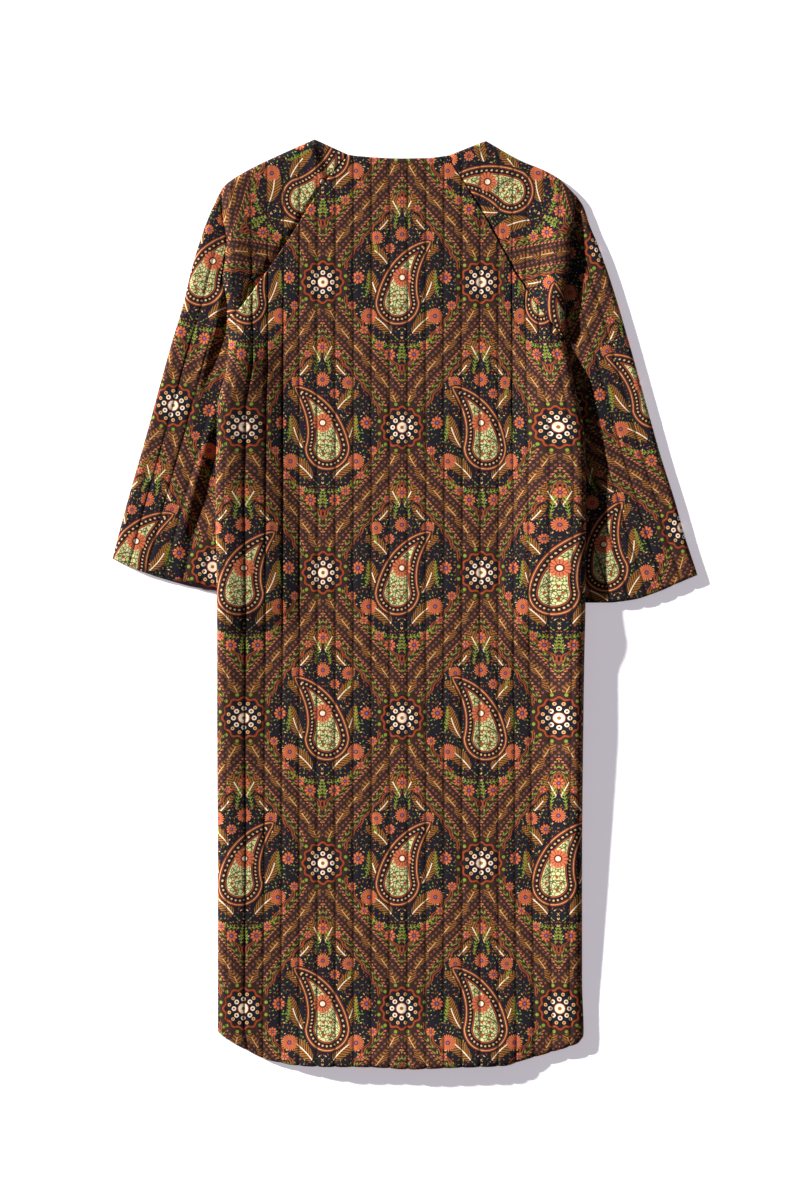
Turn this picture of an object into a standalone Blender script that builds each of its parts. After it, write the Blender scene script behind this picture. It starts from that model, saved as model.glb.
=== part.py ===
"""Long quilted gown with raglan sleeves, laid flat with its back up.

Metres, +Z up. The gown lies on the plane z = 0 with its neck towards +Y and the
wearer's right arm towards +X. The origin is under the middle of its box.
Every size below is in millimetres.
"""

import math

import bpy
import numpy as np

MM = 0.001

# Cloth, as thickness of the quilted layers and heights over the surface it lies on
UNDER = 3.4
BETWEEN = 0.7
STITCHED = 2.2
PUFFED = 5.2
SLEEVE_PUFFED = 5.2
TUCKED_PUFFED = 3.2
EDGE = 2.8
HEM_FULLNESS = 0.3
SEAM_GAP = 0.3
SEAM_REACH = 1.5

# Quilting: distance between two stitched lines, and the first line's distance from the left side
CHANNEL = 23.5
CHANNELS = 19
FIRST_LINE = 11.5
SLEEVE_CHANNEL = 24.5
PER_CHANNEL = 3
SIDE_FULLNESS = 0.75
SIDE_ZONE = 20.0
BLEND_ZONE = 90.0
SIDE_BAND = (70.0, 12.0)

# Rolls at the body's sides: radius, extra height, where it is highest and how wide it fades
ROLL = 9.0
ROLL_RISE = 5.2
ROLL_CREST = 8.0
ROLL_FADE = 26.0
SIDE_MIDDLE = 6.5
RIM = 2.2
RIM_REACH = 8.0
SEAM_CREST = 0.5

# The back's underside stands off beside the rolls
SWELL = 2.6
SWELL_CREST = 14.0
SWELL_FADE = 30.0

# Folds at the sleeves' outer edges
FOLD = 6.0
FOLD_MIDDLE = UNDER + BETWEEN / 2
FOLD_RIM = 2.6
FOLD_REACH = 9.0
FOLD_TURN = (2.0, 4.2, 7.0)
FOLD_TURN_HEIGHT = 0.8
NECK_TURN = (0.35, 0.94)
CUFF_TURN = (1.0, 0.25)
SHOULDER_SLOPE = 0.87

# A sleeve's underarm lies below the body and lifts it
LIFT = 7.8
LIFT_ENDS = 55.0
LIFT_WIDTH = 60.0
LIFT_MARGIN = 12.0
LIFT_CLEARANCE = 1.3
HEM_LIFT = 6.0

# The front's columns: distances from each side, and places across in the middle
FRONT_NEAR = (0, 1.2, 4.0, 9.0, 18.0, 32.0, 46.0, 60.0, 76.0, 92.0, 110.0)
FRONT_MIDDLE = (-87.0, -45.0, 0.0, 40.0, 74.0)

# Rows of points up the body: at set heights to the armpits, then in even steps to the neck
LEVELS = (-540, -430, -320, -210, -120, -70, -30, 10, 100, 200)
BELOW_ARMPIT = 50.0
ABOVE_ARMPIT = (0.36, 0.72)
SHORT_TOP = 4.0
SLEEVE_ROWS = 13
HEM_ROW = 6.0


def table(names, *rows):
    """Reads a short table by its column names."""
    return dict(zip(names.split(), np.array(rows, float).T))


SIDES = table(
    "y left right",
    (-566, 240, 231),
    (-555, 243, 232),
    (-490, 243, 230),
    (-350, 243, 230),
    (-130, 244, 232),
    (0, 244, 234),
    (150, 246, 235),
    (220, 244, 233),
    (252, 244, 227),
    (283, 237, 220),
    (315, 230, 214),
    (343, 229, 208),
    (368, 231, 206),
)
HEM = table(
    "x y",
    (-243, -555),
    (-233, -566),
    (-201, -583),
    (-178, -592),
    (-136, -599),
    (-32, -601),
    (6, -603),
    (97, -600),
    (129, -599),
    (155, -592),
    (200, -579),
    (226, -570),
    (232, -562),
)
NECK = table("x y", (-74, 583), (-60, 581), (-6, 578), (30, 578.6), (57, 582))
FRONT_NECK = table("x y", (-87, 531), (-60, 505), (-5, 489), (50, 505), (74, 531))
FRONT_SHORTER = 2.5

# Each sleeve, measured outwards from the gown's middle line
SLEEVES = {
    "left": {
        "side": -1,
        "armpit": (231, 368),
        "neck point": (117.5, 603),
        "corner": (238.5, 537.5),
        "raglan": table(
            "out y",
            (74, 583),
            (84, 570),
            (99, 554),
            (121, 522),
            (150, 475),
            (185, 424),
            (220, 377),
            (231, 368),
        ),
        "front raglan": table("out y", (87, 531), (140, 468), (190, 410), (231, 368)),
        "shoulder": table("out y", (117.5, 603), (171, 579), (200, 565), (232, 545), (238.5, 537.5)),
        "outer": table(
            "y out",
            (0, 394),
            (58, 380),
            (131, 361),
            (215, 337),
            (339, 303),
            (389, 288),
            (435, 277),
            (478, 264),
            (514, 250),
            (537.5, 238.5),
        ),
        "inner": table(
            "y out",
            (0, 199),
            (150, 214),
            (250, 228),
            (295, 236.5),
            (315, 232.5),
            (343, 232),
            (368, 231),
            (387, 230),
            (422, 238),
            (470, 231),
            (505, 237),
            (537.5, 238.5),
        ),
        "cuff": table(
            "across y under",
            (0, 58, 58),
            (34, 44, 44),
            (72, 33.5, 32),
            (116, 25, 20.5),
            (146, 20, 13.5),
            (200, 16, 8),
        ),
    },
    "right": {
        "side": 1,
        "armpit": (208, 343),
        "neck point": (105, 601),
        "corner": (223, 529),
        "raglan": table(
            "out y",
            (57, 582),
            (62, 570),
            (73, 553),
            (107, 497),
            (127, 460),
            (146, 426),
            (187, 368.5),
            (208, 343),
        ),
        "front raglan": table("out y", (74, 531), (120, 445), (170, 383), (208, 343)),
        "shoulder": table("out y", (105, 601), (151, 575), (179, 563.5), (199, 552.5), (223, 529)),
        "outer": table(
            "y out",
            (-10, 394),
            (37, 380),
            (89, 363),
            (132, 351),
            (194, 331.5),
            (264, 312),
            (339, 291),
            (407, 271),
            (465, 251),
            (491, 240),
            (515, 232),
            (529, 223),
        ),
        "inner": table(
            "y out",
            (-10, 189),
            (150, 203),
            (250, 216),
            (285, 222),
            (315, 216.5),
            (343, 208),
            (367, 206.5),
            (388, 205.5),
            (441, 213),
            (474, 214.5),
            (493, 219.5),
            (529, 223),
        ),
        "cuff": table(
            "across y under",
            (0, 37, 37),
            (27, 27, 27),
            (58, 15, 15),
            (95, 4.5, 4.5),
            (129, 1, 1),
            (159, 1, 1),
            (205, 4, 4),
        ),
    },
}


def smooth(at, knots, values):
    """Reads a smooth curve through a table's rows, which never swings past them."""
    slope = np.diff(values) / np.diff(knots)
    tangent = np.zeros(len(knots))
    before, after = slope[:-1], slope[1:]
    product = before * after
    total = np.where(product > 0, before + after, 1.0)
    tangent[1:-1] = np.where(product > 0, 2 * product / total, 0.0)
    tangent[0], tangent[-1] = slope[0], slope[-1]
    i = np.clip(np.searchsorted(knots, at) - 1, 0, len(slope) - 1)
    width = knots[i + 1] - knots[i]
    t = (at - knots[i]) / width
    if t < 0 or t > 1:
        end = 0 if t < 0 else -1
        return values[end] + tangent[end] * (at - knots[end])
    rise = (2 * t**3 - 3 * t**2 + 1) * values[i] + (3 * t**2 - 2 * t**3) * values[i + 1]
    lean = (t**3 - 2 * t**2 + t) * tangent[i] + (t**3 - t**2) * tangent[i + 1]
    return rise + width * lean


def ease(value, start, end):
    """Goes smoothly from 0 at start to 1 at end."""
    t = min(1.0, max(0.0, (value - start) / (end - start)))
    return t * t * (3 - 2 * t)


def rounded(distance, radius):
    """A quarter round: 0 at the edge and 1 from radius on."""
    t = min(1.0, max(0.0, distance / radius))
    return math.sqrt(1 - (1 - t) ** 2)


def faded(distance, start, width):
    """Full up to start, and then fading away over about the width."""
    return math.exp(-((max(0.0, distance - start) / width) ** 2))


def puff(share):
    """How full the wadding stands at a share of the way over one channel."""
    return abs(math.sin(math.pi * share)) ** 0.7


def side_out(name, y):
    """The body's side line below the armpit, and the sleeve's fold line above it."""
    sleeve = SLEEVES[name]
    if y <= sleeve["armpit"][1]:
        return smooth(y, SIDES["y"], SIDES[name])
    return smooth(y, sleeve["inner"]["y"], sleeve["inner"]["out"])


def sleeve_below(x, y):
    """How fully a sleeve's underarm lies below the body here, from 0 to 1."""
    sleeve = SLEEVES["left" if x < 0 else "right"]
    top = sleeve["armpit"][1]
    cuff = sleeve["cuff"]["y"][-2]
    inner = smooth(min(y, top), sleeve["inner"]["y"], sleeve["inner"]["out"]) - LIFT_MARGIN
    across = ease(abs(x), inner - LIFT_WIDTH, inner)
    return across * ease(y, top, top - LIFT_ENDS) * ease(y, cuff - LIFT_ENDS - 10, cuff - 10)


def hem_curl(x, y):
    """How fully the middle of the hem curls up here, from 0 to 1."""
    return ease(y, -530, -600) * ease(abs(x), 190, 90)


def lift(x, y):
    """How far the body is held off the floor."""
    return LIFT * sleeve_below(x, y) + HEM_LIFT * hem_curl(x, y)


def upper_inner(x, y, inset):
    """The plain underside of the upper layer, which stands off a little where the body bends."""
    swell = ease(inset, 0, SWELL_CREST) * faded(inset, SWELL_CREST, SWELL_FADE)
    below = sleeve_below(x, y)
    clear = LIFT_CLEARANCE * (math.sqrt(4 * below * (1 - below)) + hem_curl(x, y))
    return lift(x, y) + UNDER + BETWEEN + clear + SWELL * swell


def upper_crest(inset):
    """The extra height of the upper layer along its side rolls."""
    return ROLL_RISE * faded(inset, ROLL_CREST, ROLL_FADE)


class Wall:
    """A piece of cloth: a sheet of faces, each point with an outer and an inner place."""

    def __init__(self):
        self.places = {}
        self.faces = []

    def point(self, key, outer, inner):
        self.places.setdefault(key, (outer, inner))

    def face(self, *keys):
        corners = [k for i, k in enumerate(keys) if k != keys[i - 1]]
        if len(corners) > 2:
            self.faces.append(corners)

    def grid(self, ends, upward=True):
        """Faces between columns of points, each column ending at its own last row."""
        for c in range(len(ends) - 1):
            for r in range(max(ends[c], ends[c + 1])):
                here, there = min(r, ends[c]), min(r, ends[c + 1])
                above, beyond = min(r + 1, ends[c]), min(r + 1, ends[c + 1])
                corners = (c, here), (c + 1, there), (c + 1, beyond), (c, above)
                self.face(*(corners if upward else corners[::-1]))

    def make(self, name, colour, roughness):
        """Builds the closed solid: outer faces, inner faces and the rim all round."""
        index = {key: i for i, key in enumerate(self.places)}
        count = len(index)
        outer = [place[0] for place in self.places.values()]
        inner = [place[1] for place in self.places.values()]
        points = np.array(outer + inner) * MM
        faces = [[index[k] for k in face] for face in self.faces]
        edges = {(face[i - 1], face[i]) for face in faces for i in range(len(face))}
        rim = [(b, a, a + count, b + count) for a, b in edges if (b, a) not in edges]
        back = [[i + count for i in reversed(face)] for face in faces]
        mesh = bpy.data.meshes.new(name)
        mesh.from_pydata(points.tolist(), [], faces + back + rim)
        mesh.validate()
        mesh.shade_smooth()
        mesh.set_sharp_from_angle(angle=math.radians(50))
        material = bpy.data.materials.new(name + "_cloth")
        material.use_nodes = True
        shader = material.node_tree.nodes["Principled BSDF"]
        shader.inputs["Base Color"].default_value = (*colour, 1)
        shader.inputs["Roughness"].default_value = roughness
        shader.inputs["Metallic"].default_value = 0
        mesh.materials.append(material)
        piece = bpy.data.objects.new(name, mesh)
        bpy.context.scene.collection.objects.link(piece)
        return piece


def steps_along(length, count, end):
    """Heights up a column: a short first and last step, and even ones between."""
    end = min(end, length / (count + 1))
    middle = np.linspace(end, length - end, count - 1)
    return [0.0, *middle, length]


def body_rows(x, low, second, high):
    """Heights up a body column, the same on back and front wherever they lie on each other."""
    left, right = SLEEVES["left"]["armpit"], SLEEVES["right"]["armpit"]
    armpit = np.interp(x, (-left[0], right[0]), (left[1], right[1]))
    above = [armpit + (high - armpit) * share for share in ABOVE_ARMPIT]
    rows = [low, second, *LEVELS, armpit - BELOW_ARMPIT, armpit, *above, high - HEM_ROW, high]
    last = len(rows) - 1
    if high - armpit < SHORT_TOP:
        last = rows.index(armpit)
    elif high - armpit < SHORT_TOP + 2 * HEM_ROW:
        last = rows.index(armpit) + 1
    return [*rows[:last], high]


def snapped(values, target):
    """The values with the nearest one moved to the target."""
    values = np.array(values, float)
    values[np.argmin(abs(values - target))] = target
    return values


def body_columns():
    """The back's columns: close ones over each side's roll, and three to each channel."""
    left, right = SLEEVES["left"], SLEEVES["right"]
    hem_left, hem_right = HEM["x"][0], HEM["x"][-1]
    width = hem_right - hem_left
    lines = [FIRST_LINE + CHANNEL * i / PER_CHANNEL for i in range(CHANNELS * PER_CHANNEL + 1)]
    across = np.array([0, 1.2, 4.0, *lines, width - 12.0, width - 8.0, width - 4.0, width - 1.2, width])
    ahead = width - across

    # Near the sides a column keeps its distance from the armpit, in the middle it runs straight up
    by_side = np.where(across < ahead, across - left["armpit"][0], right["armpit"][0] - ahead)
    middle = np.clip((np.minimum(across, ahead) - SIDE_ZONE) / BLEND_ZONE, 0, 1)
    tops = by_side + (hem_left + across - by_side) * middle
    for corner in (-left["raglan"]["out"][0], right["raglan"]["out"][0]):
        tops = snapped(tops, corner)
    for corner in (-left["neck point"][0], right["neck point"][0]):
        tops = snapped(tops, corner)

    columns = []
    for d, top in zip(across, tops):
        share = (d - FIRST_LINE) / CHANNEL
        fullness = puff(share) if 0 < share < CHANNELS else SIDE_FULLNESS
        columns.append({"bottom": hem_left + d, "top": top, "across": d, "width": width, "puff": fullness})
    return columns


def seam_point(sleeve, raglan, x, away):
    """A point of a raglan seam, half the gap off it: away is 1 for the sleeve and -1 for the body."""
    out = abs(x)
    knots, values = sleeve[raglan]["out"], sleeve[raglan]["y"]
    start = max(out - SEAM_REACH, knots[0])
    end = min(out + SEAM_REACH, knots[-1])
    slope = (smooth(end, knots, values) - smooth(start, knots, values)) / (end - start)
    size = math.hypot(slope, 1) / (SEAM_GAP / 2) * away
    return sleeve["side"] * (out - slope / size), smooth(out, knots, values) + 1 / size


def body_top(x, raglan, neck):
    """The upper end of a body column: on a raglan seam or on the neckline."""
    sleeve = SLEEVES["left" if x < 0 else "right"]
    if abs(x) >= sleeve[raglan]["out"][0]:
        return seam_point(sleeve, raglan, x, -1)
    return x, smooth(x, neck["x"], neck["y"])


def nearer_side(column):
    """The side that a column lies nearer to, and how far it is from it."""
    if column["across"] < column["width"] / 2:
        return "left", column["across"]
    return "right", column["width"] - column["across"]


def column_x(column, y, y_low, y_high):
    """A body column's place across: straight up the middle, and along the side near it."""
    t = (y - y_low) / (y_high - y_low)
    straight = column["bottom"] + (column["top"] - column["bottom"]) * t
    name, near = nearer_side(column)
    sleeve = SLEEVES[name]
    edge = sleeve["side"] * (side_out(name, min(y, sleeve["armpit"][1])) - near)
    return straight + (edge - straight) * ease(near, *SIDE_BAND)


def back_panel():
    """The quilted back: channels run from the hem to the neckline and the raglan seams."""
    wall = Wall()
    columns = body_columns()
    ends = []
    for c, column in enumerate(columns):
        low = smooth(column["bottom"], HEM["x"], HEM["y"])
        top_x, high = body_top(column["top"], "raglan", NECK)
        name, near = nearer_side(column)
        side = SLEEVES[name]["side"]
        rows = body_rows(column["top"], low, low + HEM_ROW, high)
        top_row = len(rows) - 1
        ends.append(top_row)
        for r, y in enumerate(rows):
            x = top_x if r == top_row else column_x(column, y, low, high)
            inset = max(0.0, min(near, side_out(name, y) - abs(x)) if r < top_row else near)
            thick = STITCHED + (PUFFED - STITCHED) * column["puff"]
            if r == 0:
                thick = EDGE + HEM_FULLNESS * (thick - STITCHED)
            elif r == top_row:
                thick = STITCHED
            inner = upper_inner(x, y, inset)
            crest = inner + thick + upper_crest(inset) * (1.0 if r < top_row else SEAM_CREST)
            middle = lift(x, y) + SIDE_MIDDLE + SEAM_GAP / 2
            outer = middle + (crest - middle) * rounded(near, ROLL)
            shift = RIM * max(0.0, 1 - near / RIM_REACH)
            below = middle + (inner - middle) * ease(near, 0, RIM_REACH)
            wall.point((c, r), (x, y, outer), (x - side * shift, y, below))
    wall.grid(ends)
    return wall.make("back_panel", (0.06, 0.032, 0.026), 0.82)


def front_columns():
    """The front's few columns: close ones at its sides, wide ones between."""
    hem_left, hem_right = HEM["x"][0], HEM["x"][-1]
    width = hem_right - hem_left
    left, right = -SLEEVES["left"]["armpit"][0], SLEEVES["right"]["armpit"][0]
    near = [{"bottom": hem_left + d, "top": left + d, "across": d} for d in FRONT_NEAR]
    middle = [{"bottom": x, "top": x, "across": x - hem_left} for x in FRONT_MIDDLE]
    far = [{"bottom": hem_right - d, "top": right - d, "across": width - d} for d in FRONT_NEAR[::-1]]
    columns = near + middle + far
    for column in columns:
        column["width"] = width
    return columns


def front_panel():
    """The front, hidden below the back: flat where it rests, with its sides rolled up to the seams."""
    wall = Wall()
    columns = front_columns()
    ends = []
    for c, column in enumerate(columns):
        name, near = nearer_side(column)
        side = SLEEVES[name]["side"]
        hem = smooth(column["bottom"], HEM["x"], HEM["y"])
        low = hem + FRONT_SHORTER * ease(near, 0, 30)
        top_x, high = body_top(column["top"], "front raglan", FRONT_NECK)
        rows = body_rows(column["top"], low, hem + HEM_ROW, high)
        top_row = len(rows) - 1
        ends.append(top_row)
        for r, y in enumerate(rows):
            x = top_x if r == top_row else column_x(column, y, hem, high)
            base = lift(x, y)
            middle = base + SIDE_MIDDLE - SEAM_GAP / 2
            under = base + (middle - base) * (1 - rounded(near, ROLL))
            above = middle + (base + UNDER - middle) * ease(near, 0, RIM_REACH)
            shift = RIM * max(0.0, 1 - near / RIM_REACH)
            wall.point((c, r), (x, y, under), (x - side * shift, y, above))
    wall.grid(ends, upward=False)
    return wall.make("front_panel", (0.052, 0.028, 0.024), 0.84)


def outer_edge(sleeve, y):
    """The sleeve's outer fold at a height."""
    return smooth(y, sleeve["outer"]["y"], sleeve["outer"]["out"])


def sleeve_width(sleeve, y):
    """The sleeve's width at a height, from its inner line to its outer fold."""
    return outer_edge(sleeve, y) - smooth(y, sleeve["inner"]["y"], sleeve["inner"]["out"])


def height_where(sleeve, across):
    """The height up the sleeve at which it is so wide."""
    heights = np.linspace(sleeve["inner"]["y"][0], sleeve["inner"]["y"][-1], 600)
    widths = [sleeve_width(sleeve, y) for y in heights]
    return float(np.interp(across, widths[::-1], heights[::-1]))


def sleeve_columns(sleeve):
    """The arm's columns, by distance from the outer fold, ending at the cuff's inner corner."""
    y = sleeve["cuff"]["y"][-1]
    across = 0.0
    for _ in range(20):
        across = sleeve_width(sleeve, y)
        y = smooth(across, sleeve["cuff"]["across"], sleeve["cuff"]["y"])
    step = SLEEVE_CHANNEL / PER_CHANNEL
    values = [0, 1.2, 4.5] + [step * i for i in range(1, int(across / step))] + [across]
    armpit_out, armpit_y = sleeve["armpit"]
    at_armpit = outer_edge(sleeve, armpit_y) - armpit_out
    return snapped(values, at_armpit), at_armpit


def sleeve(name):
    """A one-piece raglan sleeve: quilted upper layer, fold over the arm and flat under layer."""
    s = SLEEVES[name]
    side = s["side"]
    wall = Wall()
    armpit_out, armpit_y = s["armpit"]
    corner_out, corner_y = s["corner"]
    neck_out, neck_y = s["neck point"]

    arm, at_armpit = sleeve_columns(s)
    at = int(np.argmin(abs(arm - at_armpit)))
    tops = [height_where(s, w) if i else corner_y for i, w in enumerate(arm)]
    tops[at] = armpit_y

    # Shoulder: the body's own columns run on over the seam, up to the neck and the fold
    body = [c for c in body_columns() if side * c["top"] >= s["raglan"]["out"][0] - 0.01]
    if side < 0:
        body = body[::-1]
    last = len(body) - 1
    shares = [(tops[at - r] - armpit_y) / (corner_y - armpit_y) for r in range(at + 1)]
    lean = corner_out - armpit_out
    span = armpit_out - s["raglan"]["out"][0]

    def shoulder_key(c, r):
        if c == last:
            return "arm", at - r, 0
        return "shoulder", c, r if c else 0

    def upper_face(*keys):
        wall.face(*(keys if side > 0 else keys[::-1]))

    for c, column in enumerate(body):
        low_x, low = seam_point(s, "raglan", column["top"], 1)
        out = side * column["top"]
        top_out = out + lean * ((out - s["raglan"]["out"][0]) / span) ** 3
        if top_out <= neck_out + 0.01:
            base_out, base_y = s["raglan"]["out"][0], s["raglan"]["y"][0]
            high = base_y + (neck_y - base_y) * (top_out - base_out) / (neck_out - base_out)
            folded = 0.5 if abs(top_out - neck_out) < 0.5 else 0.0
        else:
            high = smooth(top_out, s["shoulder"]["out"], s["shoulder"]["y"])
            folded = 1.0
        near = armpit_out - out
        for r, share in enumerate(shares):
            y = low + (high - low) * share
            x = low_x + (side * top_out - low_x) * share
            if c == last and r > 0:
                y = tops[at - r]
                x = side * (outer_edge(s, y) - arm[at - r])
            inset = max(0.0, side_out(name, max(y, armpit_y)) - abs(x))
            thick = STITCHED + (PUFFED - STITCHED) * column["puff"] * (1 if 0 < r < at else 0)
            inner = upper_inner(x, y, inset)
            crest = inner + thick + upper_crest(inset) * (SEAM_CREST if r == 0 else 1)
            trough = UNDER + BETWEEN + STITCHED
            from_fold = min(inset, near + 2) if c < last else 0
            outer = trough + (crest - trough) * rounded(from_fold, ROLL)
            below = UNDER + BETWEEN + (inner - UNDER - BETWEEN) * ease(inset, 0, ROLL)
            fall = (high - y) * SHOULDER_SLOPE
            inner_y = y
            if folded:
                outer = FOLD_MIDDLE + (outer - FOLD_MIDDLE) * max(rounded(fall, FOLD), 1 - folded)
                below = FOLD_MIDDLE + (below - FOLD_MIDDLE) * max(ease(fall, 0, RIM_REACH), 1 - folded)
                inner_y = y - folded * FOLD_RIM * max(0.0, 1 - fall / FOLD_REACH)
            wall.point(shoulder_key(c, r), (x, y, outer), (x, inner_y, below))
    for c in range(last):
        for r in range(at):
            low_side = shoulder_key(c, r), shoulder_key(c + 1, r)
            upper_face(*low_side, shoulder_key(c + 1, r + 1), shoulder_key(c, r + 1))

    # Arm: columns run beside the outer edge, from the fold line and the underarm seam to the cuff
    def arm_key(m, n):
        return "arm", m, 0 if m == len(arm) - 1 else n

    for m, across in enumerate(arm):
        low = smooth(across, s["cuff"]["across"], s["cuff"]["y"])
        high = tops[m]
        share = (across / SLEEVE_CHANNEL) % 1
        for n, step in enumerate(steps_along(high - low, SLEEVE_ROWS, HEM_ROW)):
            y = high - step
            out = outer_edge(s, y) - across
            clear = ease(out - side_out(name, min(y, armpit_y)), 2, 28)
            puffed = TUCKED_PUFFED + (SLEEVE_PUFFED - TUCKED_PUFFED) * clear
            thick = STITCHED + (puffed - STITCHED) * puff(share) * (0 if n == 0 else 1)
            if n == SLEEVE_ROWS:
                thick = min(EDGE, puffed)
            inner = UNDER + BETWEEN
            top = inner + thick
            outer = FOLD_MIDDLE + (top - FOLD_MIDDLE) * rounded(across, FOLD)
            below = FOLD_MIDDLE + (inner - FOLD_MIDDLE) * ease(across, 0, RIM_REACH)
            shift = FOLD_RIM * max(0.0, 1 - across / FOLD_REACH)
            wall.point(arm_key(m, n), (side * out, y, outer), (side * (out - shift), y, below))
    for m in range(len(arm) - 1):
        for n in range(SLEEVE_ROWS):
            high_side = arm_key(m, n), arm_key(m + 1, n)
            upper_face(*high_side, arm_key(m + 1, n + 1), arm_key(m, n + 1))

    # Fold: two narrow strips turn the cloth under, from the neck point to the cuff
    first = next(c for c, column in enumerate(body) if abs(side * column["top"] - neck_out) < 0.6)
    fold = [shoulder_key(c, at) for c in range(first, last + 1)]
    fold += [arm_key(0, n) for n in range(1, SLEEVE_ROWS + 1)]
    edge = np.array([wall.places[k][0][:2] for k in fold])
    along = np.gradient(edge, axis=0)
    inward = np.column_stack((along[:, 1], -along[:, 0])) * side
    inward /= np.linalg.norm(inward, axis=1)[:, None]
    inward[0] = (-NECK_TURN[0] * side, -NECK_TURN[1])
    inward[-1] = (-CUFF_TURN[0] * side, CUFF_TURN[1])
    for i, (place, way) in enumerate(zip(edge, inward)):
        first_outer, first_inner, second = (place + way * reach for reach in FOLD_TURN)
        wall.point(("fold", i, 1), (*first_outer, FOLD_TURN_HEIGHT), (*first_inner, UNDER))
        wall.point(("fold", i, 2), (*second, 0.0), (*second, UNDER))
    for i in range(len(fold) - 1):
        upper_face(fold[i], fold[i + 1], ("fold", i + 1, 1), ("fold", i, 1))
        upper_face(("fold", i, 1), ("fold", i + 1, 1), ("fold", i + 1, 2), ("fold", i, 2))

    # Under layer: one flat face inside the fold, the cuff, the underarm, the front raglan and the neck
    loop = [("fold", i, 2) for i in range(len(fold))]
    for i, across in enumerate(np.linspace(12, arm[-1], 8)):
        y = smooth(across, s["cuff"]["across"], s["cuff"]["under"])
        x = side * (outer_edge(s, y) - across)
        wall.point(("under cuff", i), (x, y, 0.0), (x, y, UNDER))
        loop.append(("under cuff", i))
    for m in range(len(arm) - 2, at, -1):
        x, y, _ = wall.places[("arm", m, 0)][0]
        wall.point(("underarm", m), (x, y, 0.0), (x, y, UNDER))
        loop.append(("underarm", m))
    seam_start = s["front raglan"]["out"][0] - 0.01
    front = [c["top"] for c in front_columns() if side * c["top"] >= seam_start]
    for i, top in enumerate(sorted(front, key=lambda v: -side * v)):
        x, y = seam_point(s, "front raglan", top, 1)
        wall.point(("front raglan", i), (x, y, 0.0), (x, y, UNDER))
        loop.append(("front raglan", i))
    upper_face(*loop)
    return wall.make("sleeve_" + name, (0.058, 0.03, 0.026), 0.82)


for old in list(bpy.data.objects):
    bpy.data.objects.remove(old, do_unlink=True)

back_panel()
front_panel()
sleeve("left")
sleeve("right")
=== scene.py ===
"""The look of a long quilted gown with raglan sleeves, laid flat with its back up."""

import math

import bmesh
import bpy
import numpy as np
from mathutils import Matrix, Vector


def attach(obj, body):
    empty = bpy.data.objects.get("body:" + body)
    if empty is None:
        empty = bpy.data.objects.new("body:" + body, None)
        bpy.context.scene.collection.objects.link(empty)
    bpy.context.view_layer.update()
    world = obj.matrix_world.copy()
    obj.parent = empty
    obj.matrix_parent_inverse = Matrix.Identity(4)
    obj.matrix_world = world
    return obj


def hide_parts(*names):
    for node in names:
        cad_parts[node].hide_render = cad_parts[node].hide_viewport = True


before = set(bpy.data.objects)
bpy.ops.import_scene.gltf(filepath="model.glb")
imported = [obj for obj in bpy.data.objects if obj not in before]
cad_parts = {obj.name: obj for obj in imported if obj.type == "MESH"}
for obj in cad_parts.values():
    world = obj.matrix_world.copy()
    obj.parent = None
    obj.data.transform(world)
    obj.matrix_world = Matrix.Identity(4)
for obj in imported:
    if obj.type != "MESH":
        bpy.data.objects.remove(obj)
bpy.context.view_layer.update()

# The view: a studio camera looks straight down on the gown from a stand, so that it shows
# 1.04 m by 1.56 m of the table. The table is white glass, lit a little from below, and runs out of sight.
VIEW_MIDDLE = (-0.0065, 0.0045)
VIEW_HEIGHT = 1.56
CAMERA_HEIGHT = 5.2
SENSOR = 36.0

camera = bpy.data.objects.new("studio_camera", bpy.data.cameras.new("studio_camera"))
bpy.context.scene.collection.objects.link(camera)
camera.location = (*VIEW_MIDDLE, CAMERA_HEIGHT)
camera.data.sensor_width = SENSOR
camera.data.lens = SENSOR * CAMERA_HEIGHT / VIEW_HEIGHT
camera.data.clip_end = 300
bpy.context.scene.camera = camera
bpy.context.scene.view_settings.view_transform = "Standard"

TABLE_SIZE = 90.0
TABLE_LEVEL = -0.0004
TABLE_WHITE = (0.9, 0.9, 0.9, 1)
TABLE_GLOW = (0.4, 0.372, 0.415, 1)

bpy.ops.mesh.primitive_plane_add(size=TABLE_SIZE, location=(0, 0, TABLE_LEVEL))
table_top = bpy.context.object
table_top.name = "white_table"
table_paint = bpy.data.materials.new("white_table")
table_paint.use_nodes = True
table_look = {
    "Base Color": TABLE_WHITE,
    "Emission Color": TABLE_GLOW,
    "Emission Strength": 1.0,
    "Roughness": 0.9,
    "Specular IOR Level": 0.1,
}
for socket_name, value in table_look.items():
    table_paint.node_tree.nodes["Principled BSDF"].inputs[socket_name].default_value = value
table_top.data.materials.append(table_paint)

# The light: one lamp from the upper left, low enough to draw a shadow twice as long as the
# gown is high, and a pale lavender room that fills the shadows a little.
KEY_ELEVATION = math.radians(20)
KEY_TURN = math.radians(-30)
KEY_STRENGTH = 9.0
KEY_SOFTNESS = math.radians(2)
ROOM = (0.1, 0.096, 0.104, 1)

key = bpy.data.objects.new("key_lamp", bpy.data.lights.new("key_lamp", "SUN"))
bpy.context.scene.collection.objects.link(key)
key.data.energy = KEY_STRENGTH
key.data.angle = KEY_SOFTNESS
level_way = math.cos(KEY_ELEVATION)
travel = Vector((level_way * math.cos(KEY_TURN), level_way * math.sin(KEY_TURN), -math.sin(KEY_ELEVATION)))
key.rotation_euler = travel.to_track_quat("-Z", "Y").to_euler()
room = bpy.data.worlds.new("pale_room")
room.use_nodes = True
room.node_tree.nodes["Background"].inputs["Color"].default_value = ROOM
bpy.context.scene.world = room


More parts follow.
